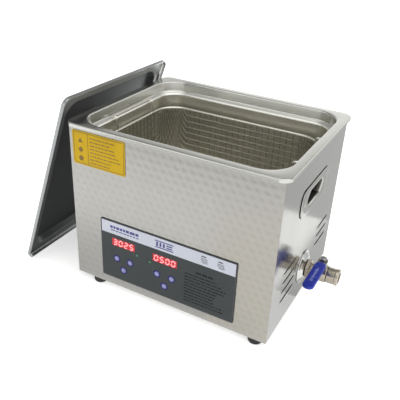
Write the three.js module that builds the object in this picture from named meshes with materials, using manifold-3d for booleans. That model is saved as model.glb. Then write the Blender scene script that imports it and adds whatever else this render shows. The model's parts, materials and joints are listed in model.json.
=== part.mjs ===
// A bench-top ultrasonic cleaner of the 10 litre class, in millimetres.
// X runs along the tank's length towards the drain valve, -Y is the front, Z is up.
// The case stands on its feet at z = 0, its basket hangs in the tank, and its lid leans on the left side.
import * as THREE from "three";
import { mergeVertices } from "three/addons/utils/BufferGeometryUtils.js";
import Module from "manifold-3d";

const wasm = await Module();
wasm.setup();

// ---------------------------------------------------------------- driving dimensions

const GAP = 0.3; // between two pieces that touch
const SHEET = 1; // case, tank and lid sheet

const RIM = { halfX: 165, halfY: 134, top: 262, corner: 15, skirt: 5 };
const CASE = { halfX: 159, halfY: 128.5, bottom: 12 };
const TANK = { mouthX: 152, mouthY: 121, corner: 38, ledge: 17, ledgeWidth: 10, floor: 112 };
const LID = { halfX: 156, halfY: 129, corner: 13, lip: 6.5, border: 15, crown: 9, lean: 19.56, y: -8.2 };
const LID_GRIP = { reach: 48, rise: 26, wire: 5 };
const BASKET = { halfX: 137, halfY: 96, corner: 36, top: 226, bottom: 127, wire: 2 };
const BASKET_HANDLE = { halfWidth: 47.5, lean: 1.6, reach: 7.5, rise: 21.2, wire: 1.75 };
const FOOT = { leftX: -126, rightX: 139.5, y: 116, radius: 11, height: 12.7 };
const CARRY = { y: 3.5, z: 187.3, width: 118, height: 43.5, depth: 14 };
const CARRY_SLOT = { width: 66, height: 22, chamfer: 9 };
const LOUVRE = { width: 52, height: 2.6, pitch: 15.6, top: 101, frontY: -64, rearY: 76 };
const PANEL = { x: -1, z: 75.75, width: 220, height: 99.5 };
const DISPLAY = { width: 39.5, height: 12 };
const BUTTON = { radius: 4, travel: 0.5 };
const LABEL = { x: -110, z: 226.75, width: 88, height: 50.5 };
const VALVE = { z: 63, stemX: 188.5, ball: 9, bore: 6, leverZ: 82.5, leverLength: 70, wallHole: 11.5 };
const DRAIN = { x: 112, radius: 9, bore: 7 };
const FAN = { x: -90, z: 62, size: 80, depth: 25, radius: 37, slotPitch: 7.6, slotWidth: 3.8 };
const INLET = { x: 92, z: 58, halfWidth: 14, halfHeight: 11 };
const FUSE = { x: 50, z: 58, radius: 6 };
const SWITCH = { x: 10, z: 58, halfWidth: 10, halfHeight: 14 };
const SWITCH_TILT = 8; // degrees each way from the middle

const caseTop = RIM.top - SHEET - GAP; // upper edge of the four case panels
const innerX = CASE.halfX - SHEET;
const innerY = CASE.halfY - SHEET;
const rearFace = CASE.halfY + GAP; // where pieces sit on the outside of the rear panel

const displays = [
  { name: "timer_display", x: -71.75, z: 91 },
  { name: "heat_display", x: -1.5, z: 89 },
];
const buttons = [
  { name: "button_timer_up", x: -84, z: 63 },
  { name: "button_timer_down", x: -60.5, z: 63 },
  { name: "button_timer_start", x: -72.4, z: 45.5 },
  { name: "button_heat_up", x: -14.2, z: 62 },
  { name: "button_heat_down", x: 10.2, z: 62 },
  { name: "button_heat_start", x: -1.7, z: 45 },
];

// ---------------------------------------------------------------- materials

const finish = (color, roughness, metalness) => () =>
  new THREE.MeshStandardMaterial({ color, roughness, metalness });

const embossedSteel = finish(0xc9c4bc, 0.38, 0.9);
const satinSteel = finish(0xc4c4c2, 0.3, 0.95);
const polishedSteel = finish(0xd2d2d0, 0.12, 1);
const tankSteel = finish(0xa5a294, 0.32, 0.9);
const blackRubber = finish(0x1c1c1c, 0.85, 0);
const blackPlastic = finish(0x202022, 0.5, 0);
const panelFilm = finish(0x4a4e52, 0.45, 0);
const redLens = finish(0x4c1214, 0.2, 0);
const buttonFilm = finish(0xd7d6e4, 0.4, 0);
const yellowFilm = finish(0xe6b81e, 0.45, 0);
const blueVinyl = finish(0x2b35a0, 0.4, 0);
const greenBoard = finish(0x1f5b35, 0.55, 0);
const dullAluminium = finish(0xb4b6b8, 0.5, 0.8);
const ceramic = finish(0x6b5a48, 0.6, 0);
const orangeSilicone = finish(0xb4582a, 0.7, 0);
const brassNut = finish(0xb08d4a, 0.3, 0.9);

// ---------------------------------------------------------------- geometry helpers

// A closed three.js geometry as a solid that can be cut and joined.
function solid(geometry) {
  const bare = new THREE.BufferGeometry();
  bare.setAttribute("position", geometry.getAttribute("position"));
  bare.setIndex(geometry.index);
  const merged = mergeVertices(bare, 1e-4);
  const mesh = new wasm.Mesh({
    numProp: 3,
    vertProperties: new Float32Array(merged.attributes.position.array),
    triVerts: new Uint32Array(merged.index.array),
  });
  return new wasm.Manifold(mesh);
}

// The faces of a solid as a three.js geometry with flat shading.
function surface(body) {
  const mesh = body.getMesh();
  const shared = new THREE.BufferGeometry();
  shared.setAttribute("position", new THREE.BufferAttribute(mesh.vertProperties, 3));
  shared.setIndex(new THREE.BufferAttribute(mesh.triVerts, 1));
  const faces = shared.toNonIndexed();
  faces.computeVertexNormals();
  return faces;
}

function join(...geometries) {
  return surface(geometries.map(solid).reduce((whole, piece) => whole.add(piece)));
}

function cut(geometry, ...tools) {
  return surface(tools.map(solid).reduce((rest, tool) => rest.subtract(tool), solid(geometry)));
}

// A box given by its range along each axis.
function block([x0, x1], [y0, y1], [z0, z1]) {
  const box = new THREE.BoxGeometry(x1 - x0, y1 - y0, z1 - z0);
  return box.translate((x0 + x1) / 2, (y0 + y1) / 2, (z0 + z1) / 2);
}

// A round bar from one value to another along an axis, centred on [a, b] in the other two.
function bar(axis, [from, to], [a, b], radius, sides = 16) {
  const rod = new THREE.CylinderGeometry(radius, radius, to - from, sides);
  const middle = (from + to) / 2;
  if (axis === "x") return rod.rotateZ(Math.PI / 2).translate(middle, a, b);
  if (axis === "z") return rod.rotateX(Math.PI / 2).translate(a, b, middle);
  return rod.translate(a, middle, b);
}

// A turned piece: its profile holds [radius, height] pairs, and its axis is Z.
function turned(profile, sides = 20) {
  const points = profile.map(([radius, height]) => new THREE.Vector2(radius, height));
  return new THREE.LatheGeometry(points, sides).rotateX(Math.PI / 2);
}

// The corners of a rounded rectangle, counter-clockwise, with as many points at every size.
function roundedOutline(halfX, halfY, radius, arcSteps) {
  const points = [];
  for (let quarter = 0; quarter < 4; quarter += 1) {
    const alongX = quarter === 0 || quarter === 3 ? 1 : -1;
    const alongY = quarter < 2 ? 1 : -1;
    for (let step = 0; step <= arcSteps; step += 1) {
      const angle = ((quarter + step / arcSteps) * Math.PI) / 2;
      const x = alongX * (halfX - radius) + radius * Math.cos(angle);
      const y = alongY * (halfY - radius) + radius * Math.sin(angle);
      points.push(new THREE.Vector2(x, y));
    }
  }
  return points;
}

// A skin through rounded rectangles that lie above and inside each other. The rings run up the outside
// and down the inside. A closed skin joins its last ring to its first, and an open one is capped.
function loft(rings, { arcSteps = 6, closed = false } = {}) {
  const outlines = rings.map(({ halfX, halfY, corner, z }) =>
    roundedOutline(halfX, halfY, corner, arcSteps).map((point) => [point.x, point.y, z]),
  );
  const around = outlines[0].length;
  const positions = outlines.flat(2);
  const triangles = [];
  const joints = closed ? rings.length : rings.length - 1;
  for (let ring = 0; ring < joints; ring += 1) {
    const here = ring * around;
    const next = ((ring + 1) % rings.length) * around;
    for (let i = 0; i < around; i += 1) {
      const j = (i + 1) % around;
      triangles.push(here + i, here + j, next + j, here + i, next + j, next + i);
    }
  }
  if (!closed) {
    const last = (rings.length - 1) * around;
    const centre = positions.length / 3;
    positions.push(0, 0, rings[0].z, 0, 0, rings.at(-1).z);
    for (let i = 0; i < around; i += 1) {
      const j = (i + 1) % around;
      triangles.push(centre, j, i, centre + 1, last + i, last + j);
    }
  }
  const skin = new THREE.BufferGeometry();
  skin.setAttribute("position", new THREE.Float32BufferAttribute(positions, 3));
  skin.setIndex(triangles);
  skin.computeVertexNormals();
  return skin;
}

// Rings for a pressed sheet: each step is [distance inside the outer size, height, corner radius].
function pressedRings({ halfX, halfY }, steps) {
  return steps.map(([inset, z, corner]) => ({ halfX: halfX - inset, halfY: halfY - inset, corner, z }));
}

// A round tube along straight runs that meet in rounded bends.
function bentTube(points, radius, bend, { steps = 24, sides = 8 } = {}) {
  const corners = points.map((point) => new THREE.Vector3(...point));
  const path = new THREE.CurvePath();
  let from = corners[0];
  for (let i = 1; i < corners.length - 1; i += 1) {
    const corner = corners[i];
    const before = corner.clone().add(from.clone().sub(corner).setLength(bend));
    const after = corner.clone().add(corners[i + 1].clone().sub(corner).setLength(bend));
    path.add(new THREE.LineCurve3(from, before));
    path.add(new THREE.QuadraticBezierCurve3(before, corner, after));
    from = after;
  }
  path.add(new THREE.LineCurve3(from, corners.at(-1)));
  const section = new THREE.Shape().absarc(0, 0, radius, 0, 2 * Math.PI);
  return new THREE.ExtrudeGeometry(section, { steps, curveSegments: sides / 2, extrudePath: path });
}

// A flat plate with a rounded outline, standing in the XZ plane and reaching from y0 to y1.
function uprightPlate({ x, z, width, height, radius }, [y0, y1], arcSteps = 4) {
  const shape = new THREE.Shape(roundedOutline(width / 2, height / 2, radius, arcSteps));
  const plate = new THREE.ExtrudeGeometry(shape, { depth: y1 - y0, bevelEnabled: false });
  return plate.rotateX(Math.PI / 2).translate(x, y1, z);
}

function piece(name, geometry, material) {
  const mesh = new THREE.Mesh(geometry, material());
  mesh.name = name;
  return mesh;
}

function group(...children) {
  const made = new THREE.Group();
  made.add(...children.flat());
  return made;
}

// ---------------------------------------------------------------- case

function displayWindow({ x, z }, clearance, [y0, y1]) {
  const halfWidth = DISPLAY.width / 2 + clearance;
  const halfHeight = DISPLAY.height / 2 + clearance;
  return block([x - halfWidth, x + halfWidth], [y0, y1], [z - halfHeight, z + halfHeight]);
}

function frontPanel() {
  const throughWall = [-CASE.halfY - 1, -innerY + 1];
  const windows = displays.map((display) => displayWindow(display, 1, throughWall));
  const holes = buttons.map(({ x, z }) => bar("y", throughWall, [x, z], BUTTON.radius + GAP, 12));
  const sheet = block([-CASE.halfX, CASE.halfX], [-CASE.halfY, -innerY], [CASE.bottom, caseTop]);
  return piece("front_panel", cut(sheet, ...windows, ...holes), embossedSteel);
}

// Slits for air, in a block of rows under each other.
function louvreSlits(y, rows, [x0, x1]) {
  const slits = [];
  for (let row = 0; row < rows; row += 1) {
    const z = LOUVRE.top - row * LOUVRE.pitch;
    const halfWidth = LOUVRE.width / 2;
    const halfHeight = LOUVRE.height / 2;
    slits.push(block([x0, x1], [y - halfWidth, y + halfWidth], [z - halfHeight, z + halfHeight]));
  }
  return slits;
}

function sidePanel(name, side) {
  const reach = innerY - GAP;
  const outer = side * CASE.halfX;
  const range = [Math.min(outer, outer - side), Math.max(outer, outer - side)];
  const throughWall = [range[0] - 1, range[1] + 1];
  const cupY = CARRY_SLOT.width / 2 + SHEET + GAP;
  const cupZ = CARRY_SLOT.height / 2 + SHEET + GAP;
  const openings = [
    block(throughWall, [CARRY.y - cupY, CARRY.y + cupY], [CARRY.z - cupZ, CARRY.z + cupZ]),
    ...louvreSlits(LOUVRE.frontY, 4, throughWall),
    ...louvreSlits(LOUVRE.rearY, 3, throughWall),
  ];
  if (side > 0) openings.push(bar("x", throughWall, [0, VALVE.z], VALVE.wallHole));
  const sheet = block(range, [-reach, reach], [CASE.bottom, caseTop]);
  return piece(name, cut(sheet, ...openings), satinSteel);
}

// Upright slots stamped in front of the fan, inside its circle.
function airSlots([y0, y1]) {
  const slots = [];
  for (let column = -4; column <= 4; column += 1) {
    const offset = column * FAN.slotPitch;
    const halfWidth = FAN.slotWidth / 2;
    const halfHeight = Math.sqrt((FAN.radius - 1) ** 2 - offset ** 2);
    const x = FAN.x + offset;
    slots.push(block([x - halfWidth, x + halfWidth], [y0, y1], [FAN.z - halfHeight, FAN.z + halfHeight]));
  }
  return slots;
}

// A block around a fitting's middle in the XZ plane, larger than the fitting by so much on every side.
function uprightBlock({ x, z, halfWidth, halfHeight }, grow, [y0, y1]) {
  const reachX = halfWidth + grow;
  const reachZ = halfHeight + grow;
  return block([x - reachX, x + reachX], [y0, y1], [z - reachZ, z + reachZ]);
}

function rearPanel() {
  const throughWall = [innerY - 1, CASE.halfY + 1];
  const openings = [
    ...airSlots(throughWall),
    uprightBlock(INLET, GAP, throughWall),
    uprightBlock(SWITCH, GAP, throughWall),
    bar("y", throughWall, [FUSE.x, FUSE.z], FUSE.radius + GAP),
  ];
  const sheet = block([-CASE.halfX, CASE.halfX], [innerY, CASE.halfY], [CASE.bottom, caseTop]);
  return piece("rear_panel", cut(sheet, ...openings), satinSteel);
}

function basePlate() {
  const halfX = innerX - GAP;
  const halfY = innerY - GAP;
  const slits = [];
  for (let row = -3; row <= 3; row += 1) {
    slits.push(block([row * 14 - 2, row * 14 + 2], [-30, 30], [12, 16]));
  }
  const z = FOOT.height + GAP;
  const sheet = block([-halfX, halfX], [-halfY, halfY], [z, z + SHEET]);
  return piece("base_plate", cut(sheet, ...slits), satinSteel);
}

function feet() {
  const profile = [
    [0, 0],
    [FOOT.radius - 2, 0],
    [FOOT.radius - 0.6, 1.4],
    [FOOT.radius, FOOT.height],
    [0, FOOT.height],
  ];
  const corners = [
    ["foot_front_left", FOOT.leftX, -FOOT.y],
    ["foot_front_right", FOOT.rightX, -FOOT.y],
    ["foot_rear_left", FOOT.leftX, FOOT.y],
    ["foot_rear_right", FOOT.rightX, FOOT.y],
  ];
  return corners.map(([name, x, y]) => {
    const foot = piece(name, turned(profile, 16), blackRubber);
    foot.position.set(x, y, 0);
    return foot;
  });
}

// A recessed grip: an eight-sided mouth in a pressed plate, with a shallow cup behind it.
function carryHandle(name, side) {
  const { chamfer } = CARRY_SLOT;
  const mouth = (grow) => {
    const u = CARRY_SLOT.width / 2 + grow;
    const v = CARRY_SLOT.height / 2 + grow;
    return new THREE.Shape([
      new THREE.Vector2(u, chamfer - v),
      new THREE.Vector2(u, v - chamfer),
      new THREE.Vector2(u - chamfer, v),
      new THREE.Vector2(chamfer - u, v),
      new THREE.Vector2(-u, v - chamfer),
      new THREE.Vector2(-u, chamfer - v),
      new THREE.Vector2(chamfer - u, -v),
      new THREE.Vector2(u - chamfer, -v),
    ]);
  };
  const prism = (shape, from, to) =>
    new THREE.ExtrudeGeometry(shape, { depth: to - from, bevelEnabled: false }).translate(0, 0, from);
  const face = new THREE.Shape(roundedOutline(CARRY.width / 2, CARRY.height / 2, 16, 5));
  const plate = prism(face, GAP, GAP + 1.2);
  const cup = prism(mouth(SHEET), -CARRY.depth, GAP + 0.5);
  const hollow = prism(mouth(0), SHEET - CARRY.depth, 3);
  const grip = piece(name, cut(join(plate, cup), hollow), satinSteel);
  // The plate is drawn flat, with its width along X, and then stood up against the side panel.
  grip.geometry.rotateX(Math.PI / 2).rotateZ(Math.PI / 2);
  grip.rotation.z = side > 0 ? 0 : Math.PI;
  grip.position.set(side * CASE.halfX, CARRY.y, CARRY.z);
  return grip;
}

// ---------------------------------------------------------------- tank

// A deep-drawn tank in one piece with its rim: skirt, flat flange, mouth, ledge, walls and floor.
function tank() {
  const mouthInset = RIM.halfX - TANK.mouthX;
  const fromMouth = (inset, drop, corner = TANK.corner - inset) => [
    mouthInset + inset,
    RIM.top - drop,
    corner,
  ];
  const well = TANK.ledgeWidth;
  const depth = RIM.top - TANK.floor;
  const underside = [
    fromMouth(well + 16.3, depth + 1),
    fromMouth(well + 9.6, depth + 0.2),
    fromMouth(well + 4.8, depth - 2.8),
    fromMouth(well + 1, depth - 9.8),
    fromMouth(well - 0.2, depth - 18),
    fromMouth(well - 1, TANK.ledge + 5.4),
    fromMouth(well - 1.3, TANK.ledge + 3.4),
    fromMouth(well - 2.2, TANK.ledge + 1.9),
    fromMouth(well - 4, TANK.ledge + 1),
    fromMouth(well - 5.4, TANK.ledge + 1),
    fromMouth(well - 8, TANK.ledge - 0.1),
    fromMouth(well - 9.5, TANK.ledge - 3.6),
    fromMouth(-1, 2.7),
    fromMouth(-1.5, 1.4),
    fromMouth(-3, SHEET),
    [2.5, RIM.top - SHEET, RIM.corner - 2.5],
    [1.6, RIM.top - 1.3, RIM.corner - 1.6],
    [SHEET, RIM.top - 2.7, RIM.corner - SHEET],
    [SHEET, RIM.top - RIM.skirt, RIM.corner - SHEET],
  ];
  const upperside = [
    [0, RIM.top - RIM.skirt, RIM.corner],
    [0, RIM.top - 2.5, RIM.corner],
    [0.8, RIM.top - 0.7, RIM.corner - 0.8],
    [2.5, RIM.top, RIM.corner - 2.5],
    fromMouth(-2.5, 0),
    fromMouth(-0.7, 0.7),
    fromMouth(0, 2.5),
    fromMouth(1.5, TANK.ledge - 4),
    fromMouth(2.8, TANK.ledge - 1),
    fromMouth(5, TANK.ledge),
    fromMouth(well - 3.5, TANK.ledge),
    fromMouth(well - 1.5, TANK.ledge + 0.7),
    fromMouth(well - 0.3, TANK.ledge + 2.7),
    fromMouth(well, TANK.ledge + 5),
    fromMouth(well + 0.8, depth - 18),
    fromMouth(well + 2, depth - 10),
    fromMouth(well + 5.5, depth - 3.5),
    fromMouth(well + 10, depth - 0.8),
    fromMouth(well + 16, depth),
  ];
  const shell = loft(pressedRings(RIM, [...underside, ...upperside]));
  const drainHole = bar("z", [TANK.floor - 5, TANK.floor + 5], [DRAIN.x, 0], DRAIN.bore, 16);
  return piece("tank", cut(shell, drainHole), tankSteel);
}

function heaters() {
  const wall = TANK.mouthY - TANK.ledgeWidth + 2.6; // just outside the tank's long walls
  const pad = (name, [y0, y1]) =>
    piece(name, block([-100, 100], [y0, y1], [132, 192]), orangeSilicone);
  return [pad("heater_front", [-wall - 2, -wall]), pad("heater_rear", [wall, wall + 2])];
}

function thermostat() {
  const wall = TANK.mouthX - TANK.ledgeWidth + 2.4;
  const disc = bar("x", [-wall - 4, -wall], [-60, 150], 8, 16);
  const cap = bar("x", [-wall - 8, -wall - 3], [-60, 150], 5, 16);
  return piece("thermostat", join(disc, cap), dullAluminium);
}

// Four bolted transducers are bonded under the floor: a flared front block, then the driven stack.
function transducers() {
  const top = TANK.floor - SHEET - GAP;
  const horn = [
    [0, top],
    [22, top],
    [22, top - 4],
    [17, top - 24],
    [0, top - 24],
  ].reverse();
  const stackTop = top - 24 - GAP;
  const stack = [
    [0, stackTop],
    [16, stackTop],
    [16, stackTop - 11],
    [17, stackTop - 11],
    [17, stackTop - 25],
    [5, stackTop - 25],
    [5, stackTop - 29],
    [0, stackTop - 29],
  ].reverse();
  const places = [
    [-80, -54],
    [50, -54],
    [-80, 54],
    [50, 54],
  ];
  return places.flatMap(([x, y], index) => {
    const number = index + 1;
    const pair = [
      piece(`transducer_horn_${number}`, turned(horn, 14), dullAluminium),
      piece(`transducer_stack_${number}`, turned(stack, 14), ceramic),
    ];
    pair.forEach((mesh) => mesh.position.set(x, y, 0));
    return pair;
  });
}

// ---------------------------------------------------------------- controls

const filmBack = -CASE.halfY - GAP;
const filmFront = filmBack - 1;
const boardFront = -innerY + 4.7;

function controlPanel() {
  const throughFilm = [filmFront - 1, filmBack + 1];
  const windows = displays.map((display) => displayWindow(display, GAP, throughFilm));
  const holes = buttons.map(({ x, z }) => bar("y", throughFilm, [x, z], BUTTON.radius + GAP, 12));
  const film = uprightPlate({ ...PANEL, radius: 2 }, [filmFront, filmBack]);
  return piece("control_panel", cut(film, ...windows, ...holes), panelFilm);
}

function displayModules() {
  return displays.map(({ name, x, z }) => {
    const lens = displayWindow({ x, z }, 0, [filmFront + 0.1, -innerY + 1]);
    const body = displayWindow({ x, z }, 2, [-innerY + GAP, boardFront - GAP]);
    return piece(name, join(lens, body), redLens);
  });
}

function buttonCaps() {
  return buttons.map(({ name, x, z }) => {
    const cap = bar("y", [filmFront - 1, -innerY], [x, z], BUTTON.radius, 12);
    const stem = bar("y", [-innerY - 1, boardFront - BUTTON.travel - GAP], [x, z], 1.5, 8);
    return piece(name, join(cap, stem), buttonFilm);
  });
}

function controlBoard() {
  const board = block([-100, 30], [boardFront, boardFront + 1.6], [36, 104]);
  const chips = block([-70, -10], [boardFront + 1, boardFront + 6], [52, 84]);
  return piece("control_board", join(board, chips), greenBoard);
}

function frontLabel() {
  const film = uprightPlate({ ...LABEL, radius: 3 }, [filmBack - 0.3, filmBack]);
  return piece("front_label", film, yellowFilm);
}

// ---------------------------------------------------------------- drain and valve

function drainPipe() {
  const start = TANK.floor - SHEET - GAP;
  const end = 145.7;
  const route = (from, to) => [
    [DRAIN.x, 0, from],
    [DRAIN.x, 0, VALVE.z],
    [to, 0, VALVE.z],
  ];
  const pipe = bentTube(route(start, end), DRAIN.radius, 16, { steps: 9 });
  const flange = bar("z", [start - 3, start], [DRAIN.x, 0], 15, 16);
  const bore = bentTube(route(start + 2, end + 2), DRAIN.bore - 1, 16, { steps: 9 });
  return piece("drain_pipe", cut(join(pipe, flange), bore), satinSteel);
}

// Turned valve pieces are drawn along Z, laid along X at the valve's height, and bored through.
function alongX(profile, sides = 20) {
  return turned(profile, sides).rotateY(Math.PI / 2).translate(0, 0, VALVE.z);
}

function escutcheon() {
  const x = CASE.halfX + GAP;
  const profile = [
    [11.5, x],
    [26, x],
    [26, x + 1.2],
    [22, x + 3.6],
    [16, x + 6],
    [11.5, x + 6.6],
    [11.5, x],
  ];
  return piece("valve_escutcheon", alongX(profile, 28), polishedSteel);
}

function locknut() {
  const nut = bar("x", [innerX - 6, innerX - GAP], [0, VALVE.z], 15, 6);
  const hole = bar("x", [innerX - 8, innerX + 2], [0, VALVE.z], 11);
  return piece("valve_locknut", cut(nut, hole), brassNut);
}

function valveBody() {
  const shell = alongX([
    [0, 146],
    [10.5, 146],
    [10.5, 167],
    [13.5, 167],
    [13.5, 175],
    [11.5, 177],
    [13, 181],
    [13, 198],
    [0, 198],
  ]);
  const boss = bar("z", [VALVE.z, VALVE.leverZ - 4.5], [VALVE.stemX, 0], 7.5);
  const bore = bar("x", [144, 200], [0, VALVE.z], VALVE.bore);
  const chamber = new THREE.SphereGeometry(VALVE.ball + 0.7, 18, 10);
  chamber.translate(VALVE.stemX, 0, VALVE.z);
  const stemHole = bar("z", [VALVE.z, VALVE.leverZ + 2], [VALVE.stemX, 0], 3.4);
  return piece("valve_body", cut(join(shell, boss), bore, chamber, stemHole), satinSteel);
}

function outletFitting() {
  const shell = alongX([
    [8, 198.3],
    [11.5, 198.3],
    [11.5, 207],
    [12.5, 208],
    [12.5, 214],
    [11.8, 215],
    [8, 215],
    [8, 198.3],
  ]);
  return piece("outlet_fitting", shell, satinSteel);
}

// What turns with the handle: ball, stem, lever, its sleeve and the nut. Closed, the lever points to -Y.
function valveLever() {
  const ball = cut(
    new THREE.SphereGeometry(VALVE.ball, 18, 10).rotateX(Math.PI / 2),
    bar("y", [-12, 12], [0, 0], VALVE.bore - 1, 16),
  );
  const stemBottom = VALVE.ball + GAP;
  const leverZ = VALVE.leverZ - VALVE.z;
  const stem = bar("z", [stemBottom, leverZ + 7], [0, 0], 3);
  const strip = new THREE.Shape(roundedOutline(7, VALVE.leverLength / 2 + 3, 6.5, 4));
  const blade = new THREE.ExtrudeGeometry(strip, { depth: 2, bevelEnabled: false });
  blade.translate(0, 4 - VALVE.leverLength / 2, leverZ);
  const lever = cut(blade, bar("z", [leverZ - 2, leverZ + 4], [0, 0], 3 + GAP, 16));
  const cover = new THREE.Shape(roundedOutline(8.2, (VALVE.leverLength - 2) / 2, 7.4, 6));
  const coat = new THREE.ExtrudeGeometry(cover, { depth: 5, bevelEnabled: false });
  coat.translate(0, -6 - VALVE.leverLength / 2, leverZ - 1.5);
  const pocket = block([-7.3, 7.3], [-VALVE.leverLength - 0.5, 10], [leverZ - GAP, leverZ + 2 + GAP]);
  const openEnd = block([-9, 9], [-7.5, 10], [leverZ - 3, leverZ + 5]);
  const sleeve = cut(coat, pocket, openEnd);
  const nut = cut(
    bar("z", [leverZ + 2 + GAP, leverZ + 6], [0, 0], 5.8, 6),
    bar("z", [leverZ, leverZ + 8], [0, 0], 3 + GAP, 16),
  );
  const turning = group(
    piece("valve_ball", ball, polishedSteel),
    piece("valve_stem", stem, satinSteel),
    piece("valve_lever", lever, satinSteel),
    piece("lever_sleeve", sleeve, blueVinyl),
    piece("lever_nut", nut, satinSteel),
  );
  turning.position.set(VALVE.stemX, 0, VALVE.z);
  return turning;
}

// ---------------------------------------------------------------- drive electronics and rear fittings

function generatorBoard() {
  const z = 20;
  const board = block([-145, -10], [-30, 60], [z, z + 1.6]);
  const standoffs = [
    [-138, -23],
    [-17, -23],
    [-138, 53],
    [-17, 53],
  ].map(([x, y]) => bar("z", [FOOT.height + SHEET + 2 * GAP, z + 1], [x, y], 3, 8));
  return piece("generator_board", join(board, ...standoffs), greenBoard);
}

function heatsink() {
  const z = 22;
  const base = block([-140, -100], [-20, 50], [z, z + 4]);
  const fins = [];
  for (let fin = 0; fin < 5; fin += 1) {
    const x = -139 + fin * 9;
    fins.push(block([x, x + 2], [-20, 50], [z + 3, z + 26]));
  }
  return piece("heatsink", join(base, ...fins), dullAluminium);
}

function transformer() {
  const z = 22;
  const core = block([-78, -42], [0, 30], [z, z + 28]);
  const winding = block([-72, -48], [-8, 38], [z + 5, z + 23]);
  return piece("transformer", join(core, winding), ceramic);
}

function fan() {
  const back = innerY - GAP;
  const front = back - FAN.depth;
  const half = FAN.size / 2;
  const outline = { x: FAN.x, z: FAN.z, width: FAN.size, height: FAN.size, radius: 5 };
  const duct = bar("y", [front - 1, back + 1], [FAN.x, FAN.z], FAN.radius, 32);
  const motor = bar("y", [front, front + 5], [FAN.x, FAN.z], 15);
  const struts = [0, 1, 2].map((index) => {
    const strut = block([-half + 1, half - 1], [0, 3], [-2, 2]);
    strut.rotateY((index * Math.PI) / 3);
    return strut.translate(FAN.x, front, FAN.z);
  });
  const frame = join(cut(uprightPlate(outline, [front, back]), duct), motor, ...struts);

  const blades = [];
  for (let index = 0; index < 7; index += 1) {
    const blade = block([12, FAN.radius - 2], [-1, 1], [-9, 9]).rotateX(Math.PI / 5);
    blades.push(blade.rotateY((index * 2 * Math.PI) / 7));
  }
  const hub = bar("y", [-8.5, 8.5], [0, 0], 14.5);
  const rotor = piece("fan_rotor", join(hub, ...blades), blackPlastic);
  rotor.position.set(FAN.x, front + 15, FAN.z);

  return [piece("fan_frame", frame, blackPlastic), rotor];
}

function powerInlet() {
  const { x, z } = INLET;
  const bezel = uprightPlate({ x, z, width: 34, height: 28, radius: 3 }, [rearFace, rearFace + 2]);
  const body = uprightBlock(INLET, 0, [innerY - 17, rearFace + 1]);
  const recess = uprightBlock(INLET, -2, [innerY - 15, rearFace + 4]);
  const pins = [
    [-7, -2],
    [0, 2],
    [7, -2],
  ].map(([dx, dz]) =>
    block([x + dx - 1, x + dx + 1], [innerY - 16, innerY - 2], [z + dz - 2, z + dz + 2]),
  );
  return piece("power_inlet", join(cut(join(bezel, body), recess), ...pins), blackPlastic);
}

function fuseHolder() {
  const collar = bar("y", [rearFace, rearFace + 2], [FUSE.x, FUSE.z], 9);
  const cap = bar("y", [rearFace + 1, rearFace + 8], [FUSE.x, FUSE.z], 7);
  const barrel = bar("y", [innerY - 22, rearFace + 1], [FUSE.x, FUSE.z], FUSE.radius, 16);
  return piece("fuse_holder", join(collar, cap, barrel), blackPlastic);
}

// A rocker that tilts about X inside its frame. Its ends are clear of the frame at every tilt.
function powerSwitch() {
  const { x, z } = SWITCH;
  const bezel = uprightPlate({ x, z, width: 24, height: 32, radius: 2 }, [rearFace, rearFace + 2]);
  const body = uprightBlock(SWITCH, 0, [innerY - 18, rearFace + 1]);
  const hollow = uprightBlock(SWITCH, -1.4, [innerY - 15, rearFace + 4]);
  const housing = piece("switch_housing", cut(join(bezel, body), hollow), blackPlastic);

  const side = new THREE.Shape([
    new THREE.Vector2(-4, -4),
    new THREE.Vector2(4, -4),
    new THREE.Vector2(11, 3),
    new THREE.Vector2(10.4, 9),
    new THREE.Vector2(0, 7.6),
    new THREE.Vector2(-10.4, 9),
    new THREE.Vector2(-11, 3),
  ]);
  const key = new THREE.ExtrudeGeometry(side, { depth: 16, bevelEnabled: false });
  key.translate(0, 0, -8).rotateY(-Math.PI / 2);
  const tilt = THREE.MathUtils.degToRad(SWITCH_TILT);
  const rocker = piece("power_switch", key.rotateX(-tilt), blackPlastic);
  rocker.position.set(x, innerY - 5, z);
  return [housing, rocker];
}

// ---------------------------------------------------------------- basket

const ring = (grow, z) => ({
  halfX: BASKET.halfX + grow,
  halfY: BASKET.halfY + grow,
  corner: BASKET.corner + grow,
  z,
});

function basket() {
  const around = 8;
  const wireRings = [];
  for (let step = 0; step < around; step += 1) {
    const angle = (step / around) * 2 * Math.PI;
    wireRings.push(ring(BASKET.wire * Math.cos(angle), BASKET.top + BASKET.wire * Math.sin(angle)));
  }
  const top = BASKET.top - BASKET.wire - GAP;
  const wall = 2;
  const cage = loft(
    [
      ring(-8, BASKET.bottom),
      ring(-3, BASKET.bottom + 2),
      ring(-1, BASKET.bottom + 7),
      ring(0, top),
      ring(-wall, top),
      ring(-1 - wall, BASKET.bottom + 7.6),
      ring(-3 - wall, BASKET.bottom + 3.6),
      ring(-8 - wall, BASKET.bottom + wall),
    ],
    { arcSteps: 5 },
  );

  // Each bail stands on the rim wire and hooks outwards over the tank's ledge.
  const bail = (side) => {
    const foot = BASKET.top + BASKET.wire + 0.1;
    const footX = side * BASKET.halfX;
    const kneeX = side * (BASKET.halfX + BASKET_HANDLE.lean);
    const barX = side * (BASKET.halfX + BASKET_HANDLE.reach);
    const barZ = BASKET.top + BASKET_HANDLE.rise;
    const reach = BASKET_HANDLE.halfWidth;
    const half = (y) => [
      [footX, y, foot],
      [kneeX, y, barZ],
      [barX, y, barZ],
    ];
    const route = [...half(-reach), ...half(reach).reverse()];
    return bentTube(route, BASKET_HANDLE.wire, 2.8, { steps: 48, sides: 6 });
  };
  return [
    piece("basket_rim", loft(wireRings, { arcSteps: 6, closed: true }), polishedSteel),
    piece("basket_cage", cage, polishedSteel),
    piece("basket_handle_left", bail(-1), polishedSteel),
    piece("basket_handle_right", bail(1), polishedSteel),
  ];
}

// ---------------------------------------------------------------- lid

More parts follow.
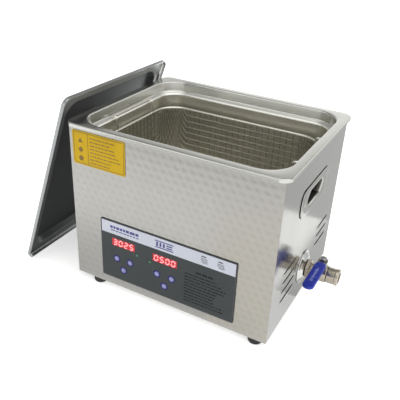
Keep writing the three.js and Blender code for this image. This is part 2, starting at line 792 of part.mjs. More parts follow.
// The lid is drawn closed, with its lip's edge at z = 0, and then stood on its left edge and leant
// on the rim. Its inside faces the case.
function lid() {
  const { lip, border, crown } = LID;
  const inside = [
    [border + 11.4, lip + crown - 1, 21.6],
    [border + 8.6, lip + crown - 1.2, 22.4],
    [border + 6.8, lip + crown - 2.3, 22.8],
    [border + 2.3, lip + 0.2, 23.6],
    [border + 0.6, lip - 1, 24.4],
    [3, lip - 1, LID.corner - 3],
    [1.6, lip - 1.4, LID.corner - 1.6],
    [SHEET, lip - 2.7, LID.corner - SHEET],
    [SHEET, 0, LID.corner - SHEET],
  ];
  const outside = [
    [0, 0, LID.corner],
    [0, lip - 2.5, LID.corner],
    [0.8, lip - 0.6, LID.corner - 0.8],
    [2.6, lip, LID.corner - 2.6],
    [border, lip, 25],
    [border + 1.5, lip + 1, 24.2],
    [border + 6, lip + crown - 1.5, 23.2],
    [border + 8, lip + crown - 0.3, 22.8],
    [border + 11, lip + crown, 22],
  ];
  const shell = loft(pressedRings(LID, [...inside, ...outside]));

  const top = lip + crown + GAP;
  const { reach, rise, wire } = LID_GRIP;
  const route = [
    [-reach, 0, top],
    [-reach, 0, top + rise],
    [reach, 0, top + rise],
    [reach, 0, top],
  ];
  const grip = bentTube(route, wire, 12, { steps: 20 });
  const mounts = [-reach, reach].map((x) => bar("z", [top, top + 4], [x, 0], wire + 4));

  const leant = group(
    piece("lid", shell, satinSteel),
    piece("lid_handle", join(grip, ...mounts), blackPlastic),
  );
  const lean = THREE.MathUtils.degToRad(LID.lean);
  const heightOnLip = RIM.top / Math.cos(lean) - LID.halfX;
  leant.rotation.y = lean - Math.PI / 2;
  leant.position.set(
    -RIM.halfX - 0.5 - heightOnLip * Math.sin(lean),
    LID.y,
    LID.halfX * Math.cos(lean),
  );
  return leant;
}

// ---------------------------------------------------------------- assembly

const cleaner = group(
  frontPanel(),
  sidePanel("side_panel_left", -1),
  sidePanel("side_panel_right", 1),
  rearPanel(),
  basePlate(),
  feet(),
  carryHandle("carry_handle_left", -1),
  carryHandle("carry_handle_right", 1),
  tank(),
  heaters(),
  thermostat(),
  transducers(),
  controlPanel(),
  displayModules(),
  buttonCaps(),
  controlBoard(),
  frontLabel(),
  drainPipe(),
  escutcheon(),
  locknut(),
  valveBody(),
  outletFitting(),
  valveLever(),
  generatorBoard(),
  heatsink(),
  transformer(),
  fan(),
  powerInlet(),
  fuseHolder(),
  powerSwitch(),
  basket(),
  lid(),
);

// The origin is at the middle of the whole object's footprint, on the surface it stands on.
const whole = new THREE.Box3().setFromObject(cleaner, true);
const footprint = whole.getCenter(new THREE.Vector3());
cleaner.position.set(-footprint.x, -footprint.y, -whole.min.z);

const part = group(cleaner);

export default part;
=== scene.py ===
"""The looks of the ultrasonic cleaner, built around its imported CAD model.

Lengths in this file are millimetres measured from the middle of the tank's footprint, on the table, until
row() turns them into the frame's metres. Sizes and places come from the boxes of the CAD nodes.
"""

import json
import math
import random

import bpy
from mathutils import Matrix, Vector

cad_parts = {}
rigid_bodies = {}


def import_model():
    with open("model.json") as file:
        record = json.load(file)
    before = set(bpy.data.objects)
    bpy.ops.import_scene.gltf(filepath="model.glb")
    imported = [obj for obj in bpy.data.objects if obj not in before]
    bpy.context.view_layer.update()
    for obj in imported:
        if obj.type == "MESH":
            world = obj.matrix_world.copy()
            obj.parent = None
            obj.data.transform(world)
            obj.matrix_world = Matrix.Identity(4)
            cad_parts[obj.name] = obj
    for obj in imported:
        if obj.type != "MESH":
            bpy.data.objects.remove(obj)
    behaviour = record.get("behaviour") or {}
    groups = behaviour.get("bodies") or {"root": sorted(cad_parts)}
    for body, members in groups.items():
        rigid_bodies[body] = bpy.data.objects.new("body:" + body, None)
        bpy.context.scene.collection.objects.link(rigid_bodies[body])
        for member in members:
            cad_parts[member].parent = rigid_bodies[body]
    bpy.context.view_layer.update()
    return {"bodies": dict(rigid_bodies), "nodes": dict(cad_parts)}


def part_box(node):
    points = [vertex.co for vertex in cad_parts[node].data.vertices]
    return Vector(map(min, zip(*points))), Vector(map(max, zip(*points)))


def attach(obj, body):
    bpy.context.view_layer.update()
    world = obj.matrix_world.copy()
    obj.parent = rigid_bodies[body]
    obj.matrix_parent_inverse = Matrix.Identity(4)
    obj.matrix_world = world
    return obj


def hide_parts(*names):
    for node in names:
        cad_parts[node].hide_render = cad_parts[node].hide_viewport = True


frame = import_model()

MM = 0.001
tank_low, tank_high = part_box("tank")
MIDDLE = Vector(((tank_low.x + tank_high.x) / 2, (tank_low.y + tank_high.y) / 2, 0))


def row(x, y, z):
    """A point in millimetres about the tank's middle, in the frame's metres."""
    return Vector((x, y, z)) * MM + MIDDLE


class Extent:
    """The box of one CAD node, in millimetres about the tank's middle."""

    def __init__(self, node):
        low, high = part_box(node)
        self.x0, self.y0, self.z0 = (low - MIDDLE) / MM
        self.x1, self.y1, self.z1 = (high - MIDDLE) / MM
        self.x = (self.x0 + self.x1) / 2
        self.y = (self.y0 + self.y1) / 2
        self.z = (self.z0 + self.z1) / 2


LOUVRE_BLOCKS = ((-64, 4), (76, 3))  # middle along the side, and slits above each other
LOUVRE_TOP, LOUVRE_PITCH = 101, 15.6  # height of the top slit, and between slits
DIMPLE_PITCH = 12.5  # between the dimples of the embossed front, which lie on a triangular lattice
DIMPLE_DEPTH = 0.22
DIMPLE_GRID = 1.65  # between the vertices of the embossed sheet
SIDES = ((-1, "left"), (1, "right"))
CARRY_SLOT = (33, 11, 9)  # half width, half height and chamfer of the mouth

rim = Extent("tank")
case_front = Extent("front_panel")
side_right = Extent("side_panel_right")
film = Extent("control_panel")
film_face = film.y0

# ---------------- camera


def make_camera():
    azimuth, elevation, roll = (math.radians(angle) for angle in (27.27, 28.75, 2.87))
    flat = math.cos(elevation)
    forward = Vector((-math.sin(azimuth) * flat, math.cos(azimuth) * flat, -math.sin(elevation)))
    level = Vector((math.cos(azimuth), math.sin(azimuth), 0))
    upright = level.cross(forward)
    right = level * math.cos(roll) + upright * math.sin(roll)
    up = upright * math.cos(roll) - level * math.sin(roll)
    data = bpy.data.cameras.new("camera")
    data.sensor_width = 36
    data.lens = 50.02
    camera = bpy.data.objects.new("camera", data)
    camera.matrix_world = Matrix((right, up, -forward)).transposed().to_4x4()
    camera.location = row(331.84, -677.7, 540.12)
    bpy.context.scene.collection.objects.link(camera)
    bpy.context.scene.camera = camera


make_camera()

# ---------------- forms: (vertices, faces) in millimetres


def merged(*forms):
    vertices, faces = [], []
    for form_vertices, form_faces in forms:
        start = len(vertices)
        vertices.extend(form_vertices)
        faces.extend(tuple(start + index for index in face) for face in form_faces)
    return vertices, faces


def moved(form, matrix):
    """The same form under a 4x4 matrix in millimetres."""
    vertices, faces = form
    return [tuple(matrix @ Vector(point)) for point in vertices], faces


def shifted(form, x=0, y=0, z=0):
    return moved(form, Matrix.Translation((x, y, z)))


def rounded_outline(half_x, half_y, radius, steps, chamfered=False):
    """A rectangle with rounded or chamfered corners, counter-clockwise, with as many points at any size."""
    points = []
    for quarter in range(4):
        side_x = 1 if quarter in (0, 3) else -1
        side_y = 1 if quarter < 2 else -1
        for step in range(steps + 1):
            share = step / steps
            if chamfered:
                share = 1 - share if quarter % 2 else share
                points.append((side_x * (half_x - radius * share), side_y * (half_y - radius * (1 - share))))
                continue
            angle = (quarter + share) * math.pi / 2
            x = side_x * (half_x - radius) + radius * math.cos(angle)
            y = side_y * (half_y - radius) + radius * math.sin(angle)
            points.append((x, y))
    return points


def skin(rings, closed=False, capped=True):
    """Faces through rings of equally many points. The rings run up the outside and down the inside."""
    around = len(rings[0])
    vertices = [point for ring in rings for point in ring]
    faces = []
    joints = len(rings) if closed else len(rings) - 1
    for index in range(joints):
        here = index * around
        following = (index + 1) % len(rings) * around
        for i in range(around):
            j = (i + 1) % around
            faces.append((here + i, here + j, following + j, following + i))
    if capped and not closed:
        faces.append(tuple(reversed(range(around))))
        faces.append(tuple((len(rings) - 1) * around + i for i in range(around)))
    return vertices, faces


def loft(half_x, half_y, profile, corner, steps=12):
    """A pressed sheet: each profile step is (distance inside the outer size, height)."""
    rings = []
    for inset, z in profile:
        outline = rounded_outline(half_x - inset, half_y - inset, corner(inset), steps)
        rings.append([(x, y, z) for x, y in outline])
    return skin(rings)


def rounded_path(points, steps=5):
    """A polyline of (x, y, ...) points whose last value is the radius of the bend there."""
    path = [Vector(points[0][:-1])]
    for before, here, after in zip(points, points[1:], points[2:]):
        corner, radius = Vector(here[:-1]), here[-1]
        back, ahead = Vector(before[:-1]) - corner, Vector(after[:-1]) - corner
        if radius <= 0:
            path.append(corner)
            continue
        turn = math.pi - back.angle(ahead)
        reach = min(radius * math.tan(turn / 2), back.length * 0.49, ahead.length * 0.49)
        start = corner + back.normalized() * reach
        end = corner + ahead.normalized() * reach
        for step in range(steps + 1):
            t = step / steps
            path.append(start * (1 - t) ** 2 + corner * 2 * t * (1 - t) + end * t**2)
    path.append(Vector(points[-1][:-1]))
    return path


def lathe(profile, sides=48, steps=3):
    """A turned piece about Z. The profile holds (radius, height, bend) and starts and ends on the axis,
    or closes on itself."""
    path = rounded_path(profile, steps)
    hollow = profile[0][0] > 0
    if hollow:
        path = path[:-1]
    rings = []
    for radius, height in path:
        radius = max(radius, 0.01)
        angles = [2 * math.pi * side / sides for side in range(sides)]
        rings.append([(radius * math.cos(a), radius * math.sin(a), height) for a in angles])
    return skin(rings, closed=hollow)


def tube(path, radius, sides=10, closed=False):
    """A round tube along a path of vectors, or a ring if it is closed."""
    points = [Vector(point) for point in path]
    count = len(points)
    normal = None
    rings = []
    for index, point in enumerate(points):
        if closed:
            tangent = points[(index + 1) % count] - points[index - 1]
        else:
            tangent = points[min(index + 1, count - 1)] - points[max(index - 1, 0)]
        tangent.normalize()
        if normal is None:
            normal = tangent.orthogonal().normalized()
        normal = (normal - tangent * normal.dot(tangent)).normalized()
        side = tangent.cross(normal)
        ring = []
        for step in range(sides):
            angle = 2 * math.pi * step / sides
            ring.append(tuple(point + (normal * math.cos(angle) + side * math.sin(angle)) * radius))
        rings.append(ring)
    return skin(rings, closed=closed)


def plate(outline, y0, y1):
    """A flat plate in the XZ plane from its front, y0, to its back, y1. The outline holds (x, z) pairs."""
    area = sum(a[0] * b[1] - b[0] * a[1] for a, b in zip(outline, outline[1:] + outline[:1]))
    if area < 0:
        outline = outline[::-1]
    rings = [[(x, y, z) for x, z in outline] for y in (y1, y0)]
    return skin(rings)


def rectangle(x0, x1, z0, z1):
    return [(x0, z0), (x1, z0), (x1, z1), (x0, z1)]


def ring_plate(x, z, inner, outer, y0, y1, sides=32):
    """A flat ring in the XZ plane."""
    rings = []
    for radius, y in ((inner, y1), (outer, y1), (outer, y0), (inner, y0)):
        angles = [2 * math.pi * side / sides for side in range(sides)]
        rings.append([(x + radius * math.cos(a), y, z + radius * math.sin(a)) for a in angles])
    return skin(rings, closed=True)


def block(x0, x1, y0, y1, z0, z1):
    return skin([[(x, y, z) for x, y in ((x0, y0), (x1, y0), (x1, y1), (x0, y1))] for z in (z0, z1)])


# Turned forms are drawn about Z and then laid along another axis.
ALONG_X = Matrix.Rotation(math.pi / 2, 4, "Y")
ALONG_MINUS_Y = Matrix.Rotation(math.pi / 2, 4, "X")

# ---------------- pieces


def piece(name, form, body, material, nodes=(), smooth=35, bevel=0, others=()):
    """Makes a mesh object from a form, gives it its body and its material, and hides the CAD nodes it stands
    for.
    Other materials can be given, each with the indices of its faces."""
    vertices, faces = form
    mesh = bpy.data.meshes.new(name)
    mesh.from_pydata([row(*point) for point in vertices], [], faces)
    mesh.validate()
    mesh.update()
    mesh.shade_smooth()
    mesh.set_sharp_from_angle(angle=math.radians(smooth))
    mesh.materials.append(material)
    for number, (other_material, indices) in enumerate(others, 1):
        mesh.materials.append(other_material)
        for index in indices:
            mesh.polygons[index].material_index = number
    made = bpy.data.objects.new(name, mesh)
    bpy.context.scene.collection.objects.link(made)
    if bevel:
        round_edges(made, bevel)
    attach(made, body)
    if nodes:
        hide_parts(*nodes)
    return made


def round_edges(made, width, segments=2):
    bevel = made.modifiers.new("rounded_edges", "BEVEL")
    bevel.width = width * MM
    bevel.segments = segments
    bevel.limit_method = "ANGLE"
    bevel.angle_limit = math.radians(40)
    bevel.harden_normals = True


def dress(node, material, bevel=0):
    """Keeps a CAD node and gives it a finished material and, where asked, rounded edges."""
    made = frame["nodes"][node]
    made.data.materials.clear()
    made.data.materials.append(material)
    if bevel:
        round_edges(made, bevel)


# ---------------- materials


def set_inputs(node, values):
    for name, value in values.items():
        node.inputs[name].default_value = value


class Shader:
    """A node material under construction."""

    def __init__(self, name, color, roughness, metallic=0.0):
        self.material = bpy.data.materials.new(name)
        self.material.use_nodes = True
        self.tree = self.material.node_tree
        self.surface = self.tree.nodes["Principled BSDF"]
        self.color = (*color, 1)
        set_inputs(self.surface, {"Base Color": self.color, "Roughness": roughness, "Metallic": metallic})
        self.roughness = roughness
        self.place = self.add("ShaderNodeTexCoord").outputs["Object"]

    def add(self, kind, **values):
        node = self.tree.nodes.new(kind)
        for key, value in values.items():
            setattr(node, key, value)
        return node

    def link(self, output, target):
        self.tree.links.new(output, target)

    def noise(self, scale, stretch=(1, 1, 1), detail=3.0):
        """A noise pattern with so many waves to the metre, stretched along the axes."""
        mapping = self.add("ShaderNodeMapping")
        set_inputs(mapping, {"Scale": stretch})
        self.link(self.place, mapping.inputs["Vector"])
        noise = self.add("ShaderNodeTexNoise")
        set_inputs(noise, {"Scale": scale, "Detail": detail})
        self.link(mapping.outputs["Vector"], noise.inputs["Vector"])
        return noise.outputs["Fac"]

    def math(self, operation, *values):
        node = self.add("ShaderNodeMath", operation=operation)
        for index, value in enumerate(values):
            if isinstance(value, (int, float)):
                node.inputs[index].default_value = value
            else:
                self.link(value, node.inputs[index])
        return node.outputs["Value"]

    def dimples(self, pitch):
        """One in the middle of each embossed dimple, which is a leaning oval, and zero between them."""
        mapping = self.add("ShaderNodeMapping", vector_type="TEXTURE")
        mapping.inputs["Location"].default_value = MIDDLE
        self.link(self.place, mapping.inputs["Vector"])
        parts = self.add("ShaderNodeSeparateXYZ")
        self.link(mapping.outputs["Vector"], parts.inputs[0])
        along = self.math("MULTIPLY", parts.outputs["X"], 2 * math.pi / pitch / MM)
        upwards = self.math("MULTIPLY", parts.outputs["Z"], 2 * math.pi / pitch / math.sqrt(3) / MM)
        angles = (self.math("ADD", along, upwards), self.math("MULTIPLY", upwards, 2))
        waves = [self.math("MULTIPLY_ADD", self.math("COSINE", angle), 0.5, 0.5) for angle in angles]
        return self.math("MULTIPLY", *waves)

    def between(self, pattern, low, high):
        """The pattern's middle range spread between two values."""
        spread = self.add("ShaderNodeMapRange")
        set_inputs(spread, {"From Min": 0.3, "From Max": 0.7, "To Min": low, "To Max": high})
        self.link(pattern, spread.inputs["Value"])
        return spread.outputs["Result"]

    def vary_roughness(self, pattern, amount):
        value = self.between(pattern, self.roughness - amount, self.roughness + amount)
        self.link(value, self.surface.inputs["Roughness"])

    def vary_color(self, pattern, darker, whole=False):
        """Mixes the colour with a darker shade of itself."""
        other = [channel * darker for channel in self.color[:3]]
        mix = self.add("ShaderNodeMix", data_type="RGBA")
        mix.inputs[6].default_value = self.color
        mix.inputs[7].default_value = (*other, 1)
        self.link(pattern if whole else self.between(pattern, 0, 1), mix.inputs[0])
        self.link(mix.outputs[2], self.surface.inputs["Base Color"])

    def bump(self, pattern, depth):
        """Relief of so many millimetres."""
        relief = self.add("ShaderNodeBump")
        set_inputs(relief, {"Distance": depth * MM, "Strength": 1.0})
        self.link(pattern, relief.inputs["Height"])
        self.link(relief.outputs["Normal"], self.surface.inputs["Normal"])

    def constant(self, **values):
        """Settings of the shader that are the same all over the surface."""
        set_inputs(self.surface, {key.replace("_", " "): value for key, value in values.items()})


def steel(name, color, roughness, grain=(1, 1, 1), grain_depth=0.0015):
    """Stainless sheet: a fine directional grain, and faint cloudy marks of handling."""
    shader = Shader(name, color, roughness, metallic=1.0)
    shader.vary_roughness(shader.noise(40, grain, detail=2.0), 0.02)
    shader.vary_color(shader.noise(9, detail=3.0), 0.93)
    shader.bump(shader.noise(1600, grain, detail=1.0), grain_depth)
    return shader.material


def pressed_steel(name, color, roughness):
    """Stainless sheet embossed with dimples, whose colour is a little darker than the ridges between:
    painted shade in the dimples.
    """
    shader = Shader(name, color, roughness, metallic=1.0)
    shader.vary_roughness(shader.noise(40, detail=2.0), 0.03)
    shader.vary_color(shader.dimples(DIMPLE_PITCH), 0.92, whole=True)
    shader.bump(shader.noise(600, detail=1.0), 0.001)
    return shader.material


def plastic(name, color, roughness, grain=1400, depth=0.015, darker=0.8, **constants):
    """Moulded plastic, rubber or film: a fine pebbled surface and slight scuffing."""
    shader = Shader(name, color, roughness)
    shader.vary_roughness(shader.noise(90, detail=4.0), 0.06)
    shader.vary_color(shader.noise(30, detail=4.0), darker)
    shader.bump(shader.noise(grain, detail=1.5), depth)
    shader.constant(**constants)
    return shader.material


def film_stock(name, color, roughness, depth=0.004, **more):
    """Printed film, whose grain is finer than moulded plastic's."""
    return plastic(name, color, roughness, grain=2600, depth=depth, **more)


def glowing(name, color, strength):
    """A lit part of the control panel."""
    shader = Shader(name, color, 0.3)
    shader.vary_roughness(shader.noise(300), 0.05)
    shader.constant(Emission_Color=(*color, 1), Emission_Strength=strength)
    return shader.material


UPRIGHT_GRAIN = (1, 1, 0.04)
LID_GRAIN = (0.2, 1, 0.2)

embossed = pressed_steel("embossed_steel", (0.392, 0.387, 0.37), 0.3)
satin = steel("satin_steel", (0.4, 0.4, 0.385), 0.17, grain=UPRIGHT_GRAIN)
polished = steel("polished_steel", (0.62, 0.62, 0.61), 0.07, grain_depth=0.0005)
# The tank and the lid are one sheet each. Their stretches have colours of their own, which stand in for
# light and shadow that the studio doesn't give.
rim_steel = steel("drawn_steel", (0.55, 0.55, 0.52), 0.22)
ledge_steel = steel("ledge_steel", (0.93, 0.92, 0.88), 0.38)
well_steel = steel("well_steel", (0.72, 0.705, 0.62), 0.36)
lid_steel = steel("lid_steel", (0.33, 0.34, 0.35), 0.3, grain=LID_GRAIN)
lid_border = steel("lid_border", (0.4, 0.41, 0.41), 0.32, grain=LID_GRAIN)
lid_lip = steel("lid_lip", (0.9, 0.91, 0.92), 0.24)
lid_inside = steel("lid_inside", (0.19, 0.195, 0.2), 0.42, grain=LID_GRAIN)
# Painted shade: a near black steel for the shade inside the carry handles' cups.
cup_painted_shade = steel("cup_painted_shade", (0.14, 0.135, 0.12), 0.3)
# One steel for the basket: the rim wire and bails get a lighter colour as painted light, the mesh a darker
# one as painted shade.
lit_wire_steel = steel("lit_wire", (0.74, 0.73, 0.67), 0.28, grain_depth=0.001)
shaded_mesh_steel = steel("shaded_mesh_wire", (0.44, 0.43, 0.37), 0.34, grain_depth=0.001)
valve_steel = steel("valve_steel", (0.42, 0.38, 0.32), 0.2, grain_depth=0.001)
machined = steel("machined_aluminium", (0.6, 0.61, 0.62), 0.42, grain=(0.1, 0.1, 1))
brass = steel("brass", (0.58, 0.4, 0.13), 0.3)
rubber = plastic("black_rubber", (0.015, 0.015, 0.016), 0.75, depth=0.03)
black = plastic("black_plastic", (0.018, 0.018, 0.02), 0.42)
panel_film = {"depth": 0.006, "darker": 0.9, "Specular_IOR_Level": 0.3}
film_grey = film_stock("film_grey", (0.03, 0.036, 0.038), 0.45, **panel_film)
film_edge = film_stock("film_edge", (0.03, 0.034, 0.045), 0.4)
film_pale = film_stock("film_pale", (0.45, 0.47, 0.54), 0.4, depth=0.005, darker=0.93)
film_blue = film_stock("film_blue", (0.03, 0.035, 0.2), 0.4)
film_ink = film_stock("film_ink", (0.006, 0.007, 0.009), 0.6, Specular_IOR_Level=0.12)
button_ring = film_stock("button_ring", (0.012, 0.014, 0.11), 0.5, Specular_IOR_Level=0.2)
button_cap = film_stock("button_cap", (0.2, 0.2, 0.44), 0.35)
lens_red = glowing("display_lens", (0.34, 0.01, 0.014), 0.45)
digit_red = glowing("display_digits", (1.0, 0.26, 0.28), 0.85)
lamp_green = glowing("indicator_lamp", (0.02, 0.22, 0.08), 0.15)
label_film = {"grain": 1800, "depth": 0.006, "darker": 0.85, "Specular_IOR_Level": 0.2}
yellow = plastic("label_yellow", (0.5, 0.32, 0.002), 0.4, **label_film)
label_ink = plastic("label_ink", (0.17, 0.1, 0.004), 0.5, grain=1800, depth=0.004)
soft_vinyl = {"grain": 700, "depth": 0.01, "darker": 0.7, "Specular_IOR_Level": 0.3}
blue = plastic("blue_vinyl", (0.012, 0.028, 0.33), 0.3, **soft_vinyl)
mark_pale = plastic("mark_pale", (0.3, 0.36, 0.62), 0.45, grain=1800, depth=0.004)
board = plastic("circuit_board", (0.012, 0.1, 0.035), 0.4)
ceramic = plastic("ceramic_stack", (0.2, 0.15, 0.1), 0.5)
iron = plastic("transformer_iron", (0.06, 0.045, 0.03), 0.5)
silicone = plastic("silicone_pad", (0.42, 0.12, 0.03), 0.6)

# ---------------- case


def front_skin():
    """The front sheet with its embossed dimples pressed into the face."""
    flat_edge = 4
    columns = round((case_front.x1 - case_front.x0) / DIMPLE_GRID)
    rows = round((case_front.z1 - case_front.z0) / DIMPLE_GRID)
    vertices, faces = [], []
    for j in range(rows + 1):
        z = case_front.z0 + (case_front.z1 - case_front.z0) * j / rows
        for i in range(columns + 1):
            x = case_front.x0 + (case_front.x1 - case_front.x0) * i / columns
            along, upwards = 2 * math.pi * x / DIMPLE_PITCH, 2 * math.pi * z / DIMPLE_PITCH / math.sqrt(3)
            wave = (1 + math.cos(along + upwards)) * (1 + math.cos(2 * upwards)) / 4
            edge = min(x - case_front.x0, case_front.x1 - x, z - case_front.z0, case_front.z1 - z)
            relief = DIMPLE_DEPTH * wave * min(edge / flat_edge, 1)
            vertices.append((x, case_front.y0 + relief, z))
    width = columns + 1
    for j in range(rows):
        for i in range(columns):
            here = j * width + i
            faces.append((here, here + 1, here + width + 1, here + width))
    border = list(range(width))
    border += [j * width + columns for j in range(1, rows + 1)]
    border += [rows * width + i for i in range(columns - 1, -1, -1)]
    border += [j * width for j in range(rows - 1, 0, -1)]
    back = len(vertices)
    for index in border:
        x, _, z = vertices[index]
        vertices.append((x, case_front.y1, z))
    count = len(border)
    for k in range(count):
        following = (k + 1) % count
        faces.append((border[following], border[k], back + k, back + following))
    faces.append(tuple(reversed(range(back, back + count))))
    piece("front_skin", (vertices, faces), "case", embossed, ["front_panel"], smooth=60)


def louvres():
    """A pressed scoop below each air slit of the side panels."""
    forms = []
    for side in (-1, 1):
        face = side_right.x1 if side > 0 else Extent("side_panel_left").x0
        for y, count in LOUVRE_BLOCKS:
            for index in range(count):
                forms.append(scoop(face, side, y, LOUVRE_TOP - LOUVRE_PITCH * index))
    piece("louvre_scoops", merged(*forms), "case", satin, smooth=60)


def scoop(face, side, y, z, half_width=26.5, height=6.0, swell=0.9, sheet=0.4):
    """A half-open blister on a side panel, with its mouth up at the slit's lower edge."""
    columns, steps = 20, 6
    mouth = z + 1.2
    rings = []
    for layer, order in ((0.0, range(steps + 1)), (sheet, range(steps, -1, -1))):
        for step in order:
            angle = math.pi / 2 * step / steps
            ring = []
            for column in range(columns + 1):
                t = 2 * column / columns - 1
                taper = (1 - abs(t) ** 5) ** 0.5
                out = max(swell * math.sin(angle) * taper - layer, -0.2)
                drop = (height * taper - layer) * math.cos(angle)
                ring.append((face + side * out, y + side * t * (half_width - layer), mouth - drop))
            rings.append(ring)
    vertices = [point for ring in rings for point in ring]
    width = columns + 1
    faces = []
    for index in range(len(rings)):
        here = index * width
        following = (index + 1) % len(rings) * width
        for i in range(columns):
            faces.append((here + i, following + i, following + i + 1, here + i + 1))
    faces.append(tuple(index * width for index in range(len(rings))))
    faces.append(tuple(index * width + columns for index in reversed(range(len(rings)))))
    return vertices, faces


def carry_handles():
    """A pressed plate whose eight-sided mouth turns inwards into a cup."""
    half_width, half_height, bend = CARRY_SLOT
    steps = 8
    for side, name in SIDES:
        box = Extent(f"carry_handle_{name}")
        proud = 1.5
        outer = box.x1 if side > 0 else box.x0
        depth = (box.x1 - box.x0) - proud
        wide, tall = (box.y1 - box.y0) / 2, (box.z1 - box.z0) / 2

        def mouth(grow, out):
            size = (half_width + grow, half_height + grow, bend + grow * 0.4)
            return [(u, v, out) for u, v in rounded_outline(*size, steps, chamfered=True)]

        def edge(inset, out):
            outline = rounded_outline(wide - inset, tall - inset, 16 - inset, steps)
            return [(u, v, out) for u, v in outline]

        rings = [mouth(0.8, -depth), mouth(1, -1.4), mouth(2.4, 0.4), edge(0.8, 0.3), edge(0, 0.9)]
        rings += [edge(0.3, 1.35), edge(1.0, 1.5), mouth(2.6, 1.5), mouth(1.5, 1.2), mouth(0.6, 0.4)]
        rings += [mouth(0, -1.2), mouth(-0.2, 1.2 - depth)]
        turn = Matrix(((0, 0, side, 0), (side, 0, 0, 0), (0, 1, 0, 0), (0, 0, 0, 1)))
        place = Matrix.Translation((outer - side * proud, box.y, box.z))
        form = moved(skin(rings), place @ turn)
        node = f"carry_handle_{name}"
        around, faces = 4 * (steps + 1), len(form[1])
        cup = [*range(10 * around, 11 * around), faces - 1]
        # The cup's inside is painted dark, as shade.
        painted_stretches = [(cup_painted_shade, cup)]
        piece(f"carry_grip_{name}", form, "case", satin, [node], smooth=40, others=painted_stretches)


def rivets():
    """Two domed rivets in each carry handle's plate."""
    dome = lathe([(0.0, 0.0, 0), (3.2, 0.0, 0), (3.0, 0.7, 0.6), (1.6, 1.3, 1), (0.0, 1.45, 0)], 24)
    for side, name in SIDES:
        plate_box = Extent(f"carry_handle_{name}")
        outer = plate_box.x1 if side > 0 else plate_box.x0
        turn = Matrix.Rotation(side * math.pi / 2, 4, "Y")
        heads = []
        for y in (plate_box.y - 46.5, plate_box.y + 46.5):
            place = Matrix.Translation((outer - side * 0.1, y, plate_box.z))
            heads.append(moved(dome, place @ turn))
        piece(f"handle_rivets_{name}", merged(*heads), "case", satin)


def feet():
    for name in ("front_left", "front_right", "rear_left", "rear_right"):
        box = Extent(f"foot_{name}")
        radius, height = (box.x1 - box.x0) / 2, box.z1
        profile = [
            (0.0, 3.0, 0), (3.5, 3.0, 0.6), (3.5, 0.0, 0.6), (radius - 1.6, 0.0, 1.2),
            (radius - 0.2, 2.4, 1.5), (radius, height - 1.2, 0.8), (radius - 1.0, height, 0.4),
            (0.0, height, 0),
        ]
        form = shifted(lathe(profile, 36), box.x, box.y)
        piece(f"rubber_foot_{name}", form, "case", rubber, [f"foot_{name}"])


def case():
    front_skin()
    for node in ("side_panel_left", "side_panel_right", "rear_panel", "base_plate"):
        dress(node, satin)
    carry_handles()
    louvres()
    rivets()
    feet()


# ---------------- tank


def tank():
    top, sheet, ledge, floor = rim.z1, 1.0, rim.z1 - 17, rim.z0 + 1
    upper = [
        (0, top - 5, 0), (0, top, 2.6), (12.9, top, 2.4), (15, ledge, 3.2), (22.9, ledge, 4.2),
        (24, floor, 15), (39, floor, 0),
    ]
    under = [
        (39.2, floor - sheet, 0), (22.9, floor - sheet, 16), (21.9, ledge - sheet, 3.2),
        (13.9, ledge - sheet, 4.2), (11.8, top - sheet, 3.4), (sheet, top - sheet, 1.6),
        (sheet, top - 5, 0),
    ]
    profile = rounded_path(under) + rounded_path(upper, 7)

    def corner(inset):
        """The rim's corners are tight and the tank's are wide, and the flat flange takes up the change."""
        share = min(max((inset - 2.6) / 7.7, 0), 1)
        return (15 - inset) * (1 - share) + (51 - inset) * share

    form = loft(rim.x1, rim.y1, profile, corner, steps=14)
    vertices, faces = form
    heights = [[vertices[corner][2] for corner in face] for face in faces]
    well = [index for index, around in enumerate(heights) if max(around) < ledge - 2.6]
    low, high = ledge - 2.7, ledge + 0.7
    step = [index for index, around in enumerate(heights) if low < min(around) and max(around) < high]
    # The well is painted lighter than the rim, and the ledge lighter still: painted light and a painted
    # highlight.
    painted_stretches = [(well_steel, well), (ledge_steel, step)]
    piece("tank_shell", form, "case", rim_steel, ["tank"], smooth=50, others=painted_stretches)
    drain = Extent("drain_pipe")
    grid = [ring_plate(0, 0, radius, radius + 1.1, 0, 0.5) for radius in (1.4, 4.4, 7.4)]
    strainer = moved(merged(*grid), Matrix.Rotation(-math.pi / 2, 4, "X"))
    strainer = shifted(strainer, drain.x0 + 15, drain.y, floor + 0.1)
    piece("drain_strainer", strainer, "case", polished)


# ---------------- basket


